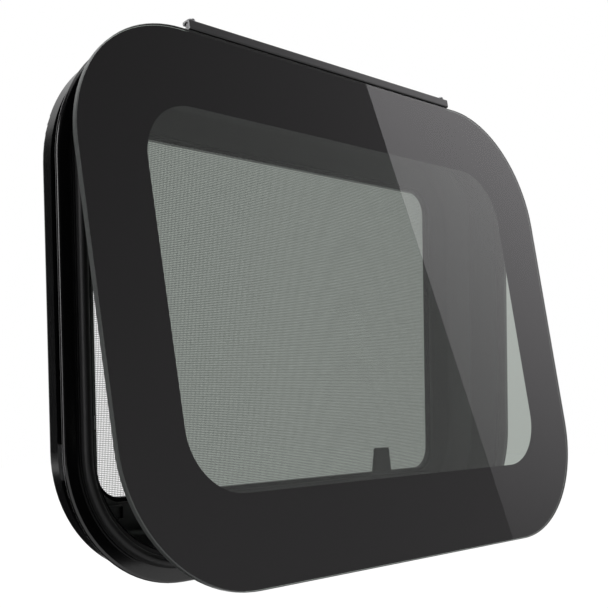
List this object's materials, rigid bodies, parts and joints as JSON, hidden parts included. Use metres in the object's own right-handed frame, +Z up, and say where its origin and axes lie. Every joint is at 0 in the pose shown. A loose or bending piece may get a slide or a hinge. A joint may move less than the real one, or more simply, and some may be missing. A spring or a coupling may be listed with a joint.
{
  "type": "caravan window",
  "caption": "Top-hung caravan window: tinted glass sash on a long hook hinge, clamped wall frame with a bulb seal, insect screen and turn latches.",
  "frame": {"origin": "on the back of the outer flange, which rests on the outside of the vehicle's wall, in the middle of its bottom side", "axes": "+X to the right seen from outside, along the hinge; +Y through the wall into the vehicle; +Z up"},
  "size_m": [0.6, 0.175, 0.4638],
  "materials": {
    "black_coat": "satin black powder coat",
    "black_plastic": "matte black moulding",
    "seal_rubber": "matte black rubber",
    "mesh": "fine grey insect mesh, see-through",
    "bare_aluminium": "mill finish",
    "hinge_aluminium": "satin black coat on aluminium, bare at the cut ends",
    "screw_steel": "dark plated steel",
    "tinted_glass": "grey tinted safety glass, polished",
    "frit_enamel": "black enamel printed on the inner face of the glass"
  },
  "bodies": {
    "frame": {"outer_frame": "black_coat", "bulb_seal": "seal_rubber", "trim_ring": "black_coat", "liner": "black_plastic", "screen_frame": "black_coat", "screen_mesh": "mesh", "screen_spline": "seal_rubber", "screen_spring": "bare_aluminium", "screen_clips": "screw_steel", "screen_tab_left": "black_plastic", "screen_tab_right": "black_plastic", "corner_block_left": "black_plastic", "corner_block_right": "black_plastic", "splice_plate": "bare_aluminium", "clamp_screws": "screw_steel", "hinge_rail": "hinge_aluminium", "latch_base_left": "black_plastic", "latch_base_right": "black_plastic", "latch_cam_left": "black_plastic", "latch_cam_right": "black_plastic", "latch_handle_left": "black_plastic", "latch_handle_right": "black_plastic"},
    "sash": {"glass_pane": "tinted_glass", "frit_border": "frit_enamel", "hinge_leaf": "hinge_aluminium", "bond_strip": "seal_rubber", "stop_screws": "screw_steel", "latch_catch_left": "black_coat", "latch_catch_right": "black_coat"}
  },
  "joints": [
    {"name": "sash_hinge", "type": "hinge", "parent": "frame", "child": "sash", "pos_m": [0, -0.0123, 0.4502], "axis": [-1, 0, 0], "range_deg": [-10.3, 24.7]}
  ]
}
